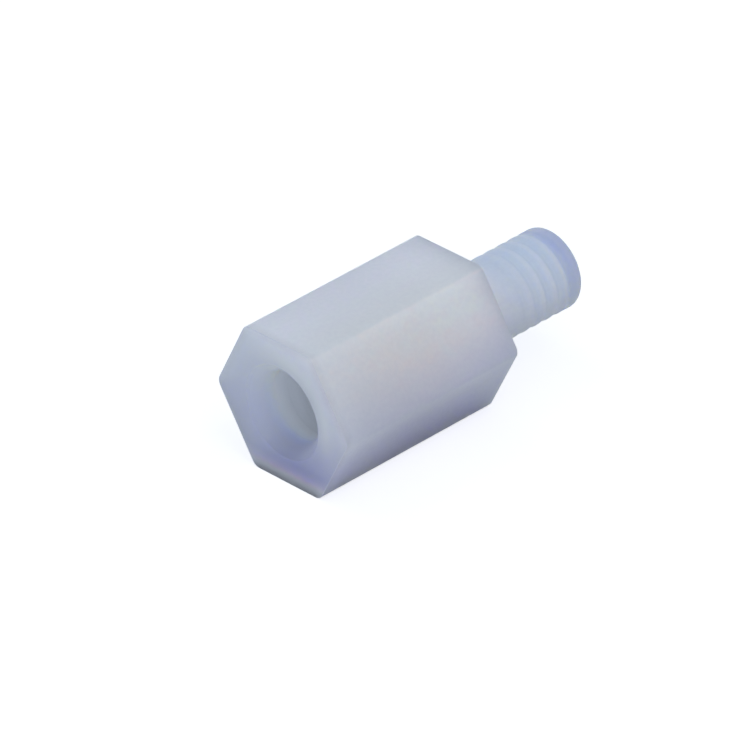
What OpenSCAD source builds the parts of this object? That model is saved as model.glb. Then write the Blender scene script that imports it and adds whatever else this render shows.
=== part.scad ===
// Male-female hex standoff, moulded in one piece: a hexagonal body with a blind tapped
// socket at one end and a threaded stud at the other. Millimetres.
//
// It lies on one of its flats. The stud points along +X and the socket opens along -X.
// The origin is under the middle of the overall length, on the surface that it lies on.
// The stud is drawn at its crest diameter and the socket at its core diameter, so both
// are plain cylinders and carry no thread form.

/* [Hexagonal body] */
// Width of the hexagon across two opposite flats
across_flats = 7; // [6:0.5:12]
// Length of the body, which is the gap that the standoff holds open
body_length = 10; // [9:1:40]
// Radius of the six long corners
corner_radius = 0.47; // [0.2:0.01:0.8]
// Width of the broken edge round each end face
edge_break = 0.12; // [0.05:0.01:0.3]

/* [Stud] */
// Diameter of the stud over its thread crests
stud_diameter = 3.8; // [3:0.1:5]
// Length of the stud beyond the shoulder
stud_length = 6; // [3:0.5:15]
// Radius of the fillet between the stud and the shoulder
root_fillet = 0.2; // [0.1:0.05:0.4]
// Width of the lead-in chamfer at the tip
tip_chamfer = 0.25; // [0.1:0.05:0.6]

/* [Socket] */
// Diameter of the socket's wall, which is its thread's core diameter
socket_diameter = 3.3; // [2.5:0.05:4]
// Depth of the socket's flat end below the face
socket_depth = 7; // [4:0.25:8]
// Width of the 45 degree countersink round the mouth
mouth_chamfer = 0.55; // [0.3:0.05:0.65]

/* [Finish] */
// Colour of the natural nylon
nylon_colour = "#cdd5e0"; // color

/* [Hidden] */
$fn = 96;

// A cutter starts this far outside the face that it opens, and a boss this far inside
overlap = 0.4;

overall_length = body_length + stud_length;
stud_radius = stud_diameter / 2;
socket_radius = socket_diameter / 2;
mouth_radius = socket_radius + mouth_chamfer;

// The flats face every 60 degrees from 0, so the long corners lie between them
flat_directions = [0, 60, 120];
corner_directions = [30 : 60 : 330];
corner_centre = across_flats / sqrt(3) - corner_radius / cos(30);

function polar(radius, angle) = radius * [cos(angle), sin(angle)];

// Hexagon whose corners are arcs: the polygon runs between the ends of the six arcs
module rounded_hexagon() {
    arc_ends = [
        for (corner = corner_directions, side = [-30, 30])
            polar(corner_centre, corner) + polar(corner_radius, corner + side)
    ];
    polygon(arc_ends);
    for (corner = corner_directions)
        translate(polar(corner_centre, corner))
            circle(r = corner_radius);
}

// Bar with two faces across_flats apart, and the edge break at each end of both faces
module flat_pair() {
    half_width = across_flats / 2;
    end_width = half_width - edge_break;
    profile = [
        [end_width, 0],
        [half_width, edge_break],
        [half_width, body_length - edge_break],
        [end_width, body_length],
        [-end_width, body_length],
        [-half_width, body_length - edge_break],
        [-half_width, edge_break],
        [-end_width, 0]
    ];
    rotate([90, 0, 0])
        linear_extrude(height = 2 * across_flats, center = true)
            polygon(profile);
}

// Hexagonal body standing on its socket end, with its axis along Z
module hex_body() {
    intersection() {
        linear_extrude(height = body_length)
            rounded_hexagon();
        rotate(flat_directions[0]) flat_pair();
        rotate(flat_directions[1]) flat_pair();
        rotate(flat_directions[2]) flat_pair();
    }
}

// Stud turned about Z, standing on the shoulder at Z = 0 and rooted a little below it
module stud() {
    foot_radius = stud_radius + root_fillet;
    profile = [
        [0, -overlap],
        [foot_radius, -overlap],
        [foot_radius, root_fillet],
        [stud_radius, root_fillet],
        [stud_radius, stud_length - tip_chamfer],
        [stud_radius - tip_chamfer, stud_length],
        [0, stud_length]
    ];
    rotate_extrude()
        difference() {
            polygon(profile);
            translate([foot_radius, root_fillet])
                circle(r = root_fillet);
        }
}

// Space inside the socket: countersunk mouth, straight wall and flat end
module socket() {
    profile = [
        [0, -overlap],
        [mouth_radius + overlap, -overlap],
        [socket_radius, mouth_chamfer],
        [socket_radius, socket_depth],
        [0, socket_depth]
    ];
    rotate_extrude()
        polygon(profile);
}

module standoff() {
    color(nylon_colour)
        translate([-overall_length / 2, 0, across_flats / 2])
            rotate([0, 90, 0])
                difference() {
                    union() {
                        hex_body();
                        translate([0, 0, body_length]) stud();
                    }
                    socket();
                }
}

standoff();
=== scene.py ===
"""Hex standoff in natural nylon: the dressed part, its floor, soft studio light and camera."""

import math

import bpy
import numpy as np
from mathutils import Matrix, Vector


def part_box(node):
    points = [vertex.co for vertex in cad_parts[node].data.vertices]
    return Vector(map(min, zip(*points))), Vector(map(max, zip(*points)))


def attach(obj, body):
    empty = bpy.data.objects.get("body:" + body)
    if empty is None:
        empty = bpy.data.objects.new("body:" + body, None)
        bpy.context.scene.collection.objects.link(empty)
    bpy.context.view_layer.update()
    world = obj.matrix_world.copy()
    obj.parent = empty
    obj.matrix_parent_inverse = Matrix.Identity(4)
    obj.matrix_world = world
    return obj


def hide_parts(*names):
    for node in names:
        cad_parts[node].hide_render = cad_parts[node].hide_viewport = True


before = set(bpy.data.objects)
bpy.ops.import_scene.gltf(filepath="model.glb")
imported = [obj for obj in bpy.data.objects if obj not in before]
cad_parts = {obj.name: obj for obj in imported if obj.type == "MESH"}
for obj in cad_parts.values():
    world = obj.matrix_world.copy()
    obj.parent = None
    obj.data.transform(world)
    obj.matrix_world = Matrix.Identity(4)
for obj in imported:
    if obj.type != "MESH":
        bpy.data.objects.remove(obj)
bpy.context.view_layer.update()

MM = 0.001

# The frame's box gives the overall length along X, and the width across flats along Z
cad_low, cad_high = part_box("standoff")
SOCKET_FACE_X = cad_low.x / MM
TIP_X = cad_high.x / MM
ACROSS_FLATS = (cad_high.z - cad_low.z) / MM
AXIS_Z = ACROSS_FLATS / 2

# A hexagon's side spans 60 degrees, and the middle of a flat is 30 degrees from a corner
SECTOR = math.radians(60)
HALF_SECTOR = math.radians(30)
COS_30 = math.cos(HALF_SECTOR)
SIN_30 = 0.5

# Hexagonal body, in millimetres
BODY_LENGTH = 10.0
SHOULDER_X = SOCKET_FACE_X + BODY_LENGTH
CORNER_RADIUS = 0.47
EDGE_ROUNDING = 0.03

# Stud
CREST_RADIUS = 1.9
ROOT_FILLET = 0.2
TIP_ROUNDING = 0.32

# Socket
CORE_RADIUS = 1.65
SOCKET_DEPTH = 7.0
MOUTH_CHAMFER = 0.55
MOUTH_RADIUS = CORE_RADIUS + MOUTH_CHAMFER
MOUTH_ROUNDING = 0.1
LIP_RADIUS = MOUTH_ROUNDING / 2
CONE_END_DEPTH = 0.06  # where the countersink's cone gives way to the lip's arc
THROAT_ROUNDING = 0.35
FLOOR_ROUNDING = 0.2

# Thread, right-handed about +X. Its form runs from 0 on the crest to 1 on the root.
PITCH = 0.7
CREST_END = 0.12
ROOT_BEGIN = 0.88
STUD_THREAD_DEPTH = 0.045
SOCKET_THREAD_DEPTH = 0.06
CREST_AT_X = SHOULDER_X + 4.17
CREST_AT_ANGLE = math.radians(121)

# Along the stud from the shoulder: where the thread starts, is at full depth and has run out
THREAD_START = 1.6
THREAD_FULL = 3.6
THREAD_END = 5.35
THREAD_RUN_OUT = 0.3

# Nylon's colours, most of them painted light and shade. A tint multiplies what lies under it,
# and a colour takes its place. They hold the soft light and shade of the photo, and stay with
# the part in any other light.
# Each stretch runs from where its colour starts to where it is full, in millimetres. Its name
# ends with the way it is measured, which is a value of Place below: UP from the axis, OUT from
# the axis all round, IN from the socket's face, PAST the shoulder, SIDE along Y, FORWARD towards
# the upper front flat, and ACROSS the face towards its upper front corner.

# The base: painted shade behind, cool, and painted light in front, warm, with slow clouds and
# fine specks
NYLON_SHADE_COOL = (0.980, 0.930, 0.937, 1)
NYLON_LIGHT_WARM = (0.887, 0.847, 0.814, 1)
LIGHT_WARM_FORWARD = (1.85, 4.53)
CLOUD_SCALE = 0.32
CLOUD_DETAIL = 2.0
CLOUD_SHIFT = 0.8
SPECK_TINT = (0.97, 0.97, 0.98, 1)
SPECK_SCALE = 5.0
SPECK_DETAIL = 3.0
SPECK_RANGE = (0.3, 0.7)

# The body: painted shade on its lower half, deeper at the back end, painted shade on its top
# flat and painted light on its upper front flat
BODY_IN = (0.0, 0.05)
BODY_PAST = (0.6, -0.4)
LOWER_SHADE_TINT = (0.620, 0.620, 0.842, 1)
LOWER_SHADE_UP = (2.47, -2.70)
LOWER_BACK_SHADE_TINT = (0.820, 0.820, 1.000, 1)
LOWER_BACK_SHADE_PAST = (-5.0, 0.0)
TOP_SHADE_TINT = (0.917, 0.944, 0.959, 1)
TOP_SHADE_UP = (3.36, 3.48)
FRONT_LIGHT_TINT = (1.065, 1.050, 1.040, 1)
FRONT_LIGHT_FORWARD = (3.36, 3.48)
FRONT_LIGHT_UP = (3.48, 3.36)
FRONT_LIGHT_IN = (1.0, 6.0)
FRONT_BACK_SHADE_TINT = (0.995, 0.980, 1.000, 1)
FRONT_BACK_SHADE_PAST = (-1.6, -0.1)

# The stud: painted shade on its far side, painted highlight and shade on its thread where light
# catches it, and painted shade on its tip, deeper below
STUD_SHADE_TINT = (0.620, 0.765, 0.919, 1)
STUD_SHADE_PAST = (0.2, 2.5)
STUD_SHADE_SIDE = (-4.73, 1.72)
CREST_HIGHLIGHT_TINT = (1.04, 1.035, 1.02, 1)
ROOT_SHADE_TINT = (0.93, 0.97, 1.0, 1)
CREST_TURN = (0.3, 0.05)
THREAD_SHADING_PAST = (2.0, 3.8)
THREAD_SHADING_UP = (-1.4, 1.0)
TIP_SHADE_TINT = (0.570, 0.670, 0.980, 1)
TIP_SHADE_PAST = (4.9, 5.25)
TIP_FOOT_SHADE_TINT = (0.800, 0.860, 1.000, 1)
TIP_FOOT_SHADE_UP = (0.9, -0.6)

# The socket's face: painted shade at the lower back, painted light on the lip and on the foot,
# and painted shade along its edges
FACE_IN = (0.3, 0.15)
FACE_RIM_IN = (0.0, 0.05)
FACE_RIM_OUT = (2.5, 2.9)
SHADE_COLOUR = (0.620, 0.620, 0.824, 1)
SHADE_ACROSS = (8.89, -1.30)
LIP_LIGHT_COLOUR = (0.980, 0.960, 0.932, 1)
LIP_LIGHT_ACROSS = (0.26, 3.76)
LIP_LIGHT_OUT = (3.43, 2.53)
FOOT_LIGHT_COLOUR = (0.965, 0.910, 0.975, 1)
FOOT_LIGHT_UP = (-2.30, -3.17)
FACE_EDGE_SHADE_TINT = (0.880, 0.840, 0.850, 1)
FACE_EDGE_SHADE_FROM_FLAT = (0.5, 0.0)
FACE_EDGE_SHADE_UP = (-0.5, 0.8)
SIDE_EDGE_SHADE_TINT = (0.946, 0.926, 0.926, 1)
SIDE_EDGE_SHADE_IN = (0.0, 0.05)
SIDE_EDGE_SHADE_END_IN = (0.5, 0.05)

# The hollow: painted shade in the countersink, deeper at its foot, and in the bore, lighter
# further in
HOLLOW_OUT = (2.27, 2.15)
HOLLOW_PAST = (-1.0, -2.0)
COUNTERSINK_SHADE_COLOUR = (0.620, 0.620, 0.833, 1)
COUNTERSINK_FOOT_SHADE_COLOUR = (0.620, 0.625, 0.789, 1)
COUNTERSINK_FOOT_SHADE_UP = (-0.6, -1.9)
BORE_SHADE_COLOUR = (0.620, 0.689, 0.937, 1)
BORE_IN = (0.4, 1.0)
BORE_DEEP_COLOUR = (0.956, 0.957, 0.962, 1)
BORE_DEEP_IN = (0.43, 1.61)

# The nylon's inside and its skin. Skin heights and the free path are in millimetres.
FREE_PATH = (1.2, 1.2, 1.2)
INSIDE_IOR = 1.4
SKIN_IOR = 1.53
SKIN_SPECULAR = 0.2
GRAIN_SCALE = 7.0
GRAIN_DETAIL = 4.0
GRAIN_RANGE = (0.25, 0.75)
GRAIN_HEIGHT = 0.004
ROUGHNESS_RANGE = (0.4, 0.56)
WAVE_SCALE = 0.7
WAVE_DETAIL = 1.0
WAVE_HEIGHT = 0.05

# Mesh density: columns round the hexagon, rows along the part, and steps in millimetres
CORNER_COLUMNS = 8
FLAT_COLUMNS = 20
SOCKET_THREAD_STEP = 0.04
STUD_THREAD_STEP = 0.036
ROUNDING_STEPS = 6
FACE_STEPS = 8
BODY_STEPS = 25
END_RINGS = 6
SMALLEST_RING = 0.25
LIP_ANGLES = np.radians([15, 30, 45, 60, 75])
FIRST_STUD_RING = 0.02


def smooth(t):
    """0 to 1 with flat ends."""
    t = np.clip(t, 0.0, 1.0)
    return t * t * (3.0 - 2.0 * t)


def corner_reach(apothem, radius):
    """Angle about the axis from a corner's middle to the end of its arc."""
    centre = (apothem - radius) / COS_30
    return math.atan2(radius * SIN_30, centre + radius * COS_30)


def column_angles():
    """Angles about the axis, from +Y towards +Z: close together on the hexagon's six corners."""
    reach = corner_reach(ACROSS_FLATS / 2, CORNER_RADIUS)
    on_corner = np.linspace(-reach, reach, CORNER_COLUMNS, endpoint=False)
    on_flat = np.linspace(reach, SECTOR - reach, FLAT_COLUMNS, endpoint=False)
    sector = np.concatenate([on_corner, on_flat])
    return np.concatenate([SECTOR * side + sector for side in range(6)])


ANGLES = column_angles()


def hexagon(inset):
    """Radius of the rounded hexagon at each column, with its flats moved in by inset."""
    apothem = ACROSS_FLATS / 2 - inset
    radius = CORNER_RADIUS - inset
    centre = (apothem - radius) / COS_30
    from_corner = (ANGLES + HALF_SECTOR) % SECTOR - HALF_SECTOR
    flat = apothem / np.cos(HALF_SECTOR - np.abs(from_corner))
    under_root = np.maximum(radius**2 - (centre * np.sin(from_corner)) ** 2, 0.0)
    arc = centre * np.cos(from_corner) + np.sqrt(under_root)
    return np.where(np.abs(from_corner) < corner_reach(apothem, radius), arc, flat)


def circle(radius):
    """The same radius at each column."""
    return np.full(len(ANGLES), float(radius))


def groove(x, phase=0.0):
    """Depth of the thread's groove at each column, from 0 on the crest to 1 at the root."""
    turns = (x - CREST_AT_X) / PITCH - (ANGLES - CREST_AT_ANGLE) / math.tau + phase
    from_crest = np.abs((turns + 0.5) % 1.0 - 0.5) * 2.0
    return smooth((from_crest - CREST_END) / (ROOT_BEGIN - CREST_END))


def ring(x, radius):
    """One row of the piece: axial place and radius at each column."""
    return (np.broadcast_to(np.asarray(x, float), ANGLES.shape), np.asarray(radius, float))


def quarter():
    """Angles of a quarter turn, both ends included."""
    return np.linspace(0.0, math.pi / 2, ROUNDING_STEPS + 1)


def socket_rows():
    """From the middle of the socket's flat end out to the rim of its mouth."""
    rows = []
    end_x = SOCKET_FACE_X + SOCKET_DEPTH
    for radius in np.linspace(SMALLEST_RING, CORE_RADIUS - FLOOR_ROUNDING, END_RINGS):
        rows.append(ring(end_x, circle(radius)))
    for a in quarter()[1:]:
        rows.append(ring(end_x - FLOOR_ROUNDING * (1 - math.cos(a)),
                         circle(CORE_RADIUS - FLOOR_ROUNDING * (1 - math.sin(a)))))
    thread_start = end_x - 2 * FLOOR_ROUNDING
    thread_end = SOCKET_FACE_X + CONE_END_DEPTH
    for x in np.arange(thread_start, thread_end, -SOCKET_THREAD_STEP):
        run_in = smooth((thread_start - x) / PITCH)
        wall = CORE_RADIUS + SOCKET_THREAD_DEPTH * run_in * groove(x, 0.5)
        cone = MOUTH_RADIUS - (x - SOCKET_FACE_X)
        overlap = np.clip((THROAT_ROUNDING - np.abs(wall - cone)) / THROAT_ROUNDING, 0.0, 1.0)
        throat = np.maximum(wall, cone) + overlap**2 * THROAT_ROUNDING / 4
        rows.append(ring(x, throat))
    for a in LIP_ANGLES:
        rows.append(ring(SOCKET_FACE_X + LIP_RADIUS * (1 - math.sin(a)),
                         circle(MOUTH_RADIUS + LIP_RADIUS * (1 - math.cos(a)))))
    return rows


def body_rows():
    """From the rim of the socket over the hexagonal body to the foot of the stud."""
    rows = []
    rim = circle(MOUTH_RADIUS + MOUTH_ROUNDING)
    edge = hexagon(EDGE_ROUNDING)
    for t in np.linspace(0.0, 1.0, FACE_STEPS + 1):
        rows.append(ring(SOCKET_FACE_X, rim * (1 - t) + edge * t))
    for a in quarter()[1:]:
        rows.append(ring(SOCKET_FACE_X + EDGE_ROUNDING * (1 - math.cos(a)),
                         hexagon(EDGE_ROUNDING * (1 - math.sin(a)))))
    first = SOCKET_FACE_X + EDGE_ROUNDING
    last = SHOULDER_X - EDGE_ROUNDING
    for x in np.linspace(first, last, BODY_STEPS + 1)[1:]:
        rows.append(ring(x, hexagon(0.0)))
    for a in quarter()[1:]:
        rows.append(ring(last + EDGE_ROUNDING * math.sin(a),
                         hexagon(EDGE_ROUNDING * (1 - math.cos(a)))))
    foot = circle(CREST_RADIUS + ROOT_FILLET)
    for t in np.linspace(0.0, 1.0, FACE_STEPS + 1)[1:]:
        rows.append(ring(SHOULDER_X, edge * (1 - t) + foot * t))
    return rows


def stud_rows():
    """From the foot of the stud to the middle of its tip."""
    rows = []
    tip_round_x = TIP_X - TIP_ROUNDING
    for x in np.arange(SHOULDER_X + FIRST_STUD_RING, tip_round_x, STUD_THREAD_STEP):
        along = x - SHOULDER_X
        run_in = smooth((along - THREAD_START) / (THREAD_FULL - THREAD_START))
        run_out = smooth((THREAD_END - along) / THREAD_RUN_OUT)
        radius = CREST_RADIUS - STUD_THREAD_DEPTH * run_in * run_out * groove(x)
        if along < ROOT_FILLET:
            below_top = ROOT_FILLET - along
            fillet = ROOT_FILLET - math.sqrt(ROOT_FILLET**2 - below_top**2)
            radius = np.maximum(radius, CREST_RADIUS + fillet)
        rows.append(ring(x, radius))
    for a in quarter():
        rows.append(ring(tip_round_x + TIP_ROUNDING * math.sin(a),
                         circle(CREST_RADIUS - TIP_ROUNDING * (1 - math.cos(a)))))
    for radius in np.linspace(CREST_RADIUS - TIP_ROUNDING, SMALLEST_RING, END_RINGS)[1:]:
        rows.append(ring(TIP_X, circle(radius)))
    return rows


def closed_mesh(name, rows, start_x, end_x):
    """Skins the rows and closes both ends with a point on the axis."""
    columns = len(ANGLES)
    x = np.stack([row[0] for row in rows])
    radius = np.stack([row[1] for row in rows])
    skin = np.stack([x, radius * np.cos(ANGLES), radius * np.sin(ANGLES) + AXIS_Z], axis=-1)
    ends = np.array([[start_x, 0.0, AXIS_Z], [end_x, 0.0, AXIS_Z]])
    points = np.concatenate([skin.reshape(-1, 3), ends]) * MM
    first_point, last_point = len(points) - 2, len(points) - 1
    faces = []
    for row in range(len(rows) - 1):
        for column in range(columns):
            here = row * columns + column
            beside = row * columns + (column + 1) % columns
            faces.append((here, beside, beside + columns, here + columns))
    last_row = (len(rows) - 1) * columns
    for column in range(columns):
        beside = (column + 1) % columns
        faces.append((first_point, beside, column))
        faces.append((last_point, last_row + column, last_row + beside))
    mesh = bpy.data.meshes.new(name)
    mesh.from_pydata(points.tolist(), [], faces)
    mesh.validate()
    mesh.polygons.foreach_set("use_smooth", [True] * len(mesh.polygons))
    mesh.update()
    return mesh


class Graph:
    """Short calls for building a node tree. Each returns the new node's output socket."""

    def __init__(self, tree):
        self.tree = tree

    def plug(self, socket, value):
        """Links an output to the socket, or sets the socket to a plain value."""
        if isinstance(value, bpy.types.NodeSocket):
            self.tree.links.new(value, socket)
        elif value is not None:
            socket.default_value = value

    def math(self, operation, a, b=None):
        node = self.tree.nodes.new("ShaderNodeMath")
        node.operation = operation
        self.plug(node.inputs[0], a)
        self.plug(node.inputs[1], b)
        return node.outputs[0]

    def both(self, *masks):
        """Each mask inside the ones before it."""
        inside = masks[0]
        for mask in masks[1:]:
            inside = self.math("MULTIPLY", inside, mask)
        return inside

    def between(self, value, low, high, out_low=0.0, out_high=1.0):
        """Smooth step of value from low to high."""
        node = self.tree.nodes.new("ShaderNodeMapRange")
        node.interpolation_type = "SMOOTHSTEP"
        self.plug(node.inputs["Value"], value)
        node.inputs["From Min"].default_value = low
        node.inputs["From Max"].default_value = high
        node.inputs["To Min"].default_value = out_low
        node.inputs["To Max"].default_value = out_high
        return node.outputs["Result"]

    def noise(self, vector, scale, detail):
        node = self.tree.nodes.new("ShaderNodeTexNoise")
        self.plug(node.inputs["Vector"], vector)
        node.inputs["Scale"].default_value = scale
        node.inputs["Detail"].default_value = detail
        return node.outputs["Fac"]

    def mix(self, factor, a, b, blend="MIX"):
        """b over a, or a times b with the blend MULTIPLY, by factor."""
        node = self.tree.nodes.new("ShaderNodeMix")
        node.data_type = "RGBA"
        node.blend_type = blend
        self.plug(node.inputs[0], factor)
        self.plug(node.inputs[6], a)
        self.plug(node.inputs[7], b)
        return node.outputs[2]

    def tint(self, mask, colour, tint):
        """The colour, times the tint where the mask is 1."""
        return self.mix(mask, colour, tint, "MULTIPLY")

    def bump(self, height, distance, normal=None):
        node = self.tree.nodes.new("ShaderNodeBump")
        node.inputs["Distance"].default_value = distance
        self.plug(node.inputs["Height"], height)
        self.plug(node.inputs["Normal"], normal)
        return node.outputs["Normal"]


class Place:
    """Where each point of the surface lies, in millimetres, as sockets of a node tree."""

    def __init__(self, graph):
        scaled = graph.tree.nodes.new("ShaderNodeVectorMath")
        scaled.operation = "SCALE"
        scaled.inputs["Scale"].default_value = 1 / MM
        coordinates = graph.tree.nodes.new("ShaderNodeTexCoord")
        graph.plug(scaled.inputs[0], coordinates.outputs["Object"])
        self.point = scaled.outputs[0]
        split = graph.tree.nodes.new("ShaderNodeSeparateXYZ")
        graph.plug(split.inputs[0], self.point)
        self.along, self.side, above_floor = split.outputs
        self.up = graph.math("SUBTRACT", above_floor, AXIS_Z)
        self.past_shoulder = graph.math("SUBTRACT", self.along, SHOULDER_X)
        self.inward = graph.math("SUBTRACT", self.along, SOCKET_FACE_X)
        squared = graph.math("ADD", graph.math("MULTIPLY", self.side, self.side),
                             graph.math("MULTIPLY", self.up, self.up))
        self.out = graph.math("SQRT", squared)
        self.forward = graph.math("SUBTRACT", graph.math("MULTIPLY", self.up, SIN_30),
                                  graph.math("MULTIPLY", self.side, COS_30))
        self.across = graph.math("SUBTRACT", self.up, self.side)
        self.from_flat = self.depth_under_flats(graph)

    def depth_under_flats(self, graph):
        """Distance from the nearest of the six flats, measured inwards."""
        above = graph.math("ABSOLUTE", self.up)
        beside = graph.math("ABSOLUTE", self.side)
        slant = graph.math("ADD", graph.math("MULTIPLY", beside, COS_30),
                           graph.math("MULTIPLY", above, SIN_30))
        return graph.math("SUBTRACT", ACROSS_FLATS / 2, graph.math("MAXIMUM", slant, above))


def base_colour(graph, place):
    # Painted light and shade: warm towards the upper front flat and cool behind, with slow
    # clouds in the border between them. The fine specks are the nylon's own.
    clouds = graph.noise(place.point, CLOUD_SCALE, CLOUD_DETAIL)
    shift = graph.math("MULTIPLY", clouds, CLOUD_SHIFT)
    light_warm = graph.between(graph.math("ADD", place.forward, shift), *LIGHT_WARM_FORWARD)
    colour = graph.mix(light_warm, NYLON_SHADE_COOL, NYLON_LIGHT_WARM)
    specks = graph.between(graph.noise(place.point, SPECK_SCALE, SPECK_DETAIL), *SPECK_RANGE)
    return graph.tint(specks, colour, SPECK_TINT)


def body_tints(graph, place, colour):
    # Painted shade on the body's lower half, deeper towards its back end
    lower_shade = graph.both(graph.between(place.up, *LOWER_SHADE_UP),
                       graph.between(place.inward, *BODY_IN),
                       graph.between(place.past_shoulder, *BODY_PAST))
    colour = graph.tint(lower_shade, colour, LOWER_SHADE_TINT)
    lower_back_shade = graph.both(lower_shade, graph.between(place.past_shoulder, *LOWER_BACK_SHADE_PAST))
    colour = graph.tint(lower_back_shade, colour, LOWER_BACK_SHADE_TINT)
    # Painted shade on the top flat
    colour = graph.tint(graph.between(place.up, *TOP_SHADE_UP), colour, TOP_SHADE_TINT)
    # Painted light on the upper front flat, a little less at its back end
    front_light = graph.both(graph.between(place.forward, *FRONT_LIGHT_FORWARD),
                       graph.between(place.up, *FRONT_LIGHT_UP),
                       graph.between(place.inward, *FRONT_LIGHT_IN))
    colour = graph.tint(front_light, colour, FRONT_LIGHT_TINT)
    front_back_shade = graph.both(front_light, graph.between(place.past_shoulder, *FRONT_BACK_SHADE_PAST))
    return graph.tint(front_back_shade, colour, FRONT_BACK_SHADE_TINT)


def thread_highlight_and_shade(graph, place):
    """Painted highlight along the thread's crests and painted shade along its roots."""
    pitches = graph.math("DIVIDE", graph.math("SUBTRACT", place.along, CREST_AT_X), PITCH)
    angle = graph.math("ARCTAN2", place.up, place.side)
    part = graph.math("DIVIDE", graph.math("SUBTRACT", angle, CREST_AT_ANGLE), math.tau)
    turns = graph.math("SUBTRACT", pitches, part)
    part_turn = graph.math("FRACT", graph.math("ADD", turns, 0.5))
    from_crest = graph.math("ABSOLUTE", graph.math("SUBTRACT", part_turn, 0.5))
    return graph.mix(graph.between(from_crest, *CREST_TURN), ROOT_SHADE_TINT, CREST_HIGHLIGHT_TINT)


def stud_tints(graph, place, colour):
    # Painted shade on the stud's far side
    far_side_shade = graph.both(graph.between(place.past_shoulder, *STUD_SHADE_PAST),
                          graph.between(place.side, *STUD_SHADE_SIDE))
    colour = graph.tint(far_side_shade, colour, STUD_SHADE_TINT)
    # Painted highlight on the thread's crests and painted shade in its roots, on its upper side
    thread_shading = graph.both(graph.between(place.past_shoulder, *THREAD_SHADING_PAST),
                          graph.between(place.up, *THREAD_SHADING_UP))
    colour = graph.tint(thread_shading, colour, thread_highlight_and_shade(graph, place))
    # Painted shade on the tip, deeper on its lower side
    tip = graph.between(place.past_shoulder, *TIP_SHADE_PAST)
    colour = graph.tint(tip, colour, TIP_SHADE_TINT)
    tip_foot_shade = graph.both(tip, graph.between(place.up, *TIP_FOOT_SHADE_UP))
    return graph.tint(tip_foot_shade, colour, TIP_FOOT_SHADE_TINT)


def face_colours(graph, place, colour):
    """Painted light and shade on the flat face round the socket, and on the two sides of the
    edge round it.
    """
    past_rim = graph.both(graph.between(place.inward, *FACE_RIM_IN),
                          graph.between(place.out, *FACE_RIM_OUT))
    face = graph.both(graph.between(place.inward, *FACE_IN),
                      graph.math("SUBTRACT", 1.0, past_rim))
    shade = graph.both(face, graph.between(place.across, *SHADE_ACROSS))
    colour = graph.mix(shade, colour, SHADE_COLOUR)
    # Painted light on the lip round the mouth, on its upper front side
    lip_light = graph.both(face, graph.between(place.across, *LIP_LIGHT_ACROSS),
                     graph.between(place.out, *LIP_LIGHT_OUT))
    colour = graph.mix(lip_light, colour, LIP_LIGHT_COLOUR)
    # Painted light on the foot of the face
    foot = graph.both(face, graph.between(place.up, *FOOT_LIGHT_UP))
    colour = graph.mix(foot, colour, FOOT_LIGHT_COLOUR)
    # Painted shade along the face's upper edges, and on the sides next to the face
    face_edge_shade = graph.both(face, graph.between(place.from_flat, *FACE_EDGE_SHADE_FROM_FLAT),
                           graph.between(place.up, *FACE_EDGE_SHADE_UP))
    colour = graph.tint(face_edge_shade, colour, FACE_EDGE_SHADE_TINT)
    side_edge_shade = graph.both(graph.between(place.inward, *SIDE_EDGE_SHADE_IN),
                           graph.between(place.inward, *SIDE_EDGE_SHADE_END_IN))
    return graph.tint(side_edge_shade, colour, SIDE_EDGE_SHADE_TINT)


def hollow_colours(graph, place, colour):
    # Painted shade in the countersink and the bore, lighter further in
    hollow = graph.both(graph.between(place.out, *HOLLOW_OUT),
                        graph.between(place.past_shoulder, *HOLLOW_PAST))
    countersink = graph.mix(graph.between(place.up, *COUNTERSINK_FOOT_SHADE_UP),
                            COUNTERSINK_SHADE_COLOUR, COUNTERSINK_FOOT_SHADE_COLOUR)
    bore = graph.mix(graph.between(place.inward, *BORE_DEEP_IN), BORE_SHADE_COLOUR, BORE_DEEP_COLOUR)
    inner = graph.mix(graph.between(place.inward, *BORE_IN), countersink, bore)
    return graph.mix(hollow, colour, inner)


def nylon():
    """Natural nylon: milky and translucent, with a satin moulded skin, its base colour carrying
    painted light and shade.
    """
    material = bpy.data.materials.new("natural_nylon")
    material.use_nodes = True
    graph = Graph(material.node_tree)
    place = Place(graph)
    colour = base_colour(graph, place)
    colour = body_tints(graph, place, colour)
    colour = stud_tints(graph, place, colour)
    colour = face_colours(graph, place, colour)
    colour = hollow_colours(graph, place, colour)
    grain = graph.noise(place.point, GRAIN_SCALE, GRAIN_DETAIL)
    waves = graph.noise(place.point, WAVE_SCALE, WAVE_DETAIL)
    skin = graph.bump(grain, GRAIN_HEIGHT * MM, graph.bump(waves, WAVE_HEIGHT * MM))
    roughness = graph.between(grain, *GRAIN_RANGE, *ROUGHNESS_RANGE)
    shader = material.node_tree.nodes["Principled BSDF"]
    graph.plug(shader.inputs["Base Color"], colour)
    graph.plug(shader.inputs["Roughness"], roughness)
    graph.plug(shader.inputs["Normal"], skin)
    shader.subsurface_method = "RANDOM_WALK_SKIN"
    shader.inputs["Subsurface Weight"].default_value = 1.0
    shader.inputs["Subsurface Radius"].default_value = FREE_PATH
    # This method divides the radius by 4 pi to get the free path
    shader.inputs["Subsurface Scale"].default_value = 4 * math.pi * MM
    shader.inputs["Subsurface IOR"].default_value = INSIDE_IOR
    shader.inputs["IOR"].default_value = SKIN_IOR
    shader.inputs["Specular IOR Level"].default_value = SKIN_SPECULAR
    return material


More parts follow.
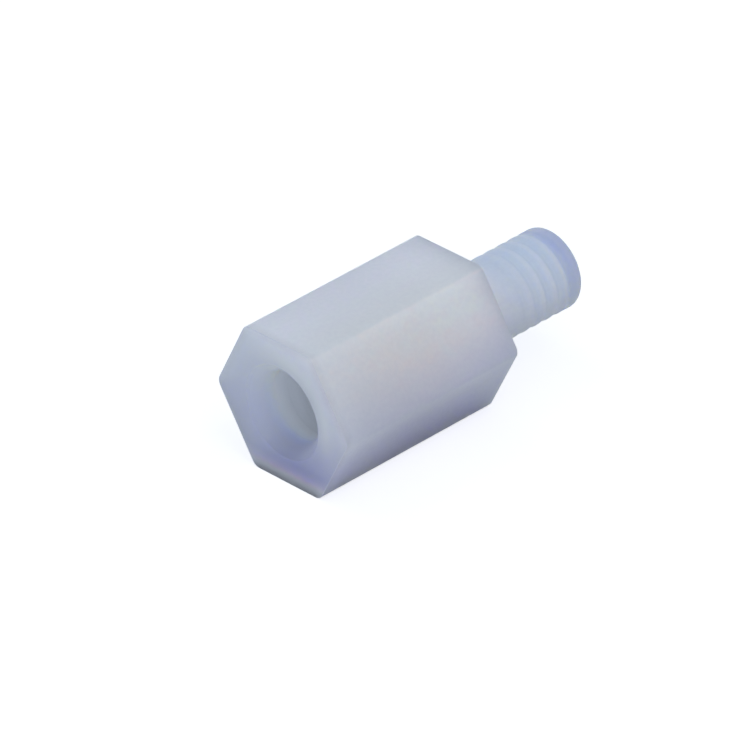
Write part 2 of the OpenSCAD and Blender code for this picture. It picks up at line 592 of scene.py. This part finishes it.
def make_piece():
    rows = socket_rows() + body_rows() + stud_rows()
    mesh = closed_mesh("nylon_standoff", rows, SOCKET_FACE_X + SOCKET_DEPTH, TIP_X)
    piece = bpy.data.objects.new("nylon_standoff", mesh)
    bpy.context.scene.collection.objects.link(piece)
    mesh.materials.append(nylon())
    weighted = piece.modifiers.new("weighted_normals", "WEIGHTED_NORMAL")
    weighted.mode = "FACE_AREA"
    weighted.keep_sharp = False
    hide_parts("standoff")
    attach(piece, "root")


def outwards(azimuth, elevation):
    """Unit vector from the part. Azimuth is 0 towards -Y and grows towards +X."""
    return Vector((math.sin(azimuth) * math.cos(elevation),
                   -math.cos(azimuth) * math.cos(elevation),
                   math.sin(elevation)))


# Camera: where it looks, from which side, how far off, and how it is rolled
AIM = Vector((-1.992, 0.754, 2.275)) * MM
AZIMUTH = math.radians(-41.333)
ELEVATION = math.radians(31.469)
ROLL = math.radians(-3.843)
DISTANCE = 0.36466
LENS = 410.3
SENSOR_WIDTH = 36.0


def make_camera():
    data = bpy.data.cameras.new("camera")
    data.lens = LENS
    data.sensor_width = SENSOR_WIDTH
    data.clip_start, data.clip_end = 0.01, 10.0
    camera = bpy.data.objects.new("camera", data)
    bpy.context.scene.collection.objects.link(camera)
    back = outwards(AZIMUTH, ELEVATION)
    turned = back.to_track_quat("Z", "Y").to_matrix() @ Matrix.Rotation(ROLL, 3, "Z")
    camera.matrix_world = Matrix.Translation(AIM + back * DISTANCE) @ turned.to_4x4()
    bpy.context.scene.camera = camera


def seen_directly(graph):
    """1 for camera, glossy and transmission rays, and 0 for the rays that light the part."""
    path = graph.tree.nodes.new("ShaderNodeLightPath").outputs
    seen_or_mirrored = graph.math("MAXIMUM", path["Is Camera Ray"], path["Is Glossy Ray"])
    return graph.math("MAXIMUM", seen_or_mirrored, path["Is Transmission Ray"])


def split_by_sight(graph, output, lighting, seen):
    """Lets one shader light the part, and shows the other where it is seen."""
    pick = graph.tree.nodes.new("ShaderNodeMixShader")
    graph.plug(pick.inputs[0], seen_directly(graph))
    graph.plug(pick.inputs[1], lighting)
    graph.plug(pick.inputs[2], seen)
    graph.plug(output.inputs["Surface"], pick.outputs[0])


WHITE = (1, 1, 1, 1)

# The floor as it lights the part, and what is added to it where it is seen. The added glow
# brings the lit floor to white and leaves the part's shadow a little darker.
FLOOR_COLOUR = (0.5, 0.5, 0.52, 1)
FLOOR_GLOW = 0.72
FLOOR_HALF_WIDTH = 0.3
FLOOR_GAP = 0.01 * MM


def floor_material():
    material = bpy.data.materials.new("pale_floor")
    material.use_nodes = True
    graph = Graph(material.node_tree)
    graph.tree.nodes.clear()
    paint = graph.tree.nodes.new("ShaderNodeBsdfDiffuse")
    paint.inputs["Color"].default_value = FLOOR_COLOUR
    glow = graph.tree.nodes.new("ShaderNodeEmission")
    glow.inputs["Color"].default_value = WHITE
    glow.inputs["Strength"].default_value = FLOOR_GLOW
    glowing_paint = graph.tree.nodes.new("ShaderNodeAddShader")
    graph.plug(glowing_paint.inputs[0], paint.outputs[0])
    graph.plug(glowing_paint.inputs[1], glow.outputs[0])
    output = graph.tree.nodes.new("ShaderNodeOutputMaterial")
    split_by_sight(graph, output, paint.outputs[0], glowing_paint.outputs[0])
    return material


def make_floor():
    half = FLOOR_HALF_WIDTH
    mesh = bpy.data.meshes.new("floor")
    mesh.from_pydata([(-half, -half, 0), (half, -half, 0), (half, half, 0), (-half, half, 0)],
                     [], [(0, 1, 2, 3)])
    mesh.materials.append(floor_material())
    floor = bpy.data.objects.new("floor", mesh)
    floor.location.z = -FLOOR_GAP
    bpy.context.scene.collection.objects.link(floor)


# The world's light grows from the horizon to a bright sky, by the height of its direction
HORIZON_Z, ZENITH_Z = 0.1, 0.8
FILL_LOW = (0.13, 0.18, 0.32, 1)
FILL_HIGH = (0.42, 0.47, 0.51, 1)


def make_world():
    world = bpy.data.worlds.new("studio")
    bpy.context.scene.world = world
    world.use_nodes = True
    graph = Graph(world.node_tree)
    graph.tree.nodes.clear()
    direction = graph.tree.nodes.new("ShaderNodeTexCoord").outputs["Generated"]
    split = graph.tree.nodes.new("ShaderNodeSeparateXYZ")
    graph.plug(split.inputs[0], direction)
    overhead = graph.between(split.outputs["Z"], HORIZON_Z, ZENITH_Z)
    fill = graph.tree.nodes.new("ShaderNodeBackground")
    graph.plug(fill.inputs["Color"], graph.mix(overhead, FILL_LOW, FILL_HIGH))
    white = graph.tree.nodes.new("ShaderNodeBackground")
    white.inputs["Color"].default_value = WHITE
    output = graph.tree.nodes.new("ShaderNodeOutputWorld")
    split_by_sight(graph, output, fill.outputs[0], white.outputs[0])


# Lamps: azimuth and elevation in degrees, watts and colour
LAMPS = {
    "front_lamp": (0, 50, 0.372, (0.98, 1.00, 1.00)),
    "side_lamp": (300, 20, 0.376, (0.82, 0.92, 1.00)),
    "back_lamp": (180, 45, 0.281, (0.82, 0.92, 1.00)),
}
LAMP_SIZE = 0.3
LAMP_DISTANCE = 0.4


def softbox(name, azimuth, elevation, power, colour):
    """Square soft lamp on a sphere round the part, facing it."""
    data = bpy.data.lights.new(name, "AREA")
    data.shape = "SQUARE"
    data.size = LAMP_SIZE
    data.energy = power
    data.color = colour
    lamp = bpy.data.objects.new(name, data)
    bpy.context.scene.collection.objects.link(lamp)
    back = outwards(math.radians(azimuth), math.radians(elevation))
    lamp.matrix_world = (Matrix.Translation(back * LAMP_DISTANCE)
                         @ back.to_track_quat("Z", "Y").to_matrix().to_4x4())


def make_light():
    for name, lamp in LAMPS.items():
        softbox(name, *lamp)


scene = bpy.context.scene
scene.view_settings.view_transform = "Standard"
scene.cycles.use_denoising = True

make_camera()
make_piece()
make_floor()
make_world()
make_light()
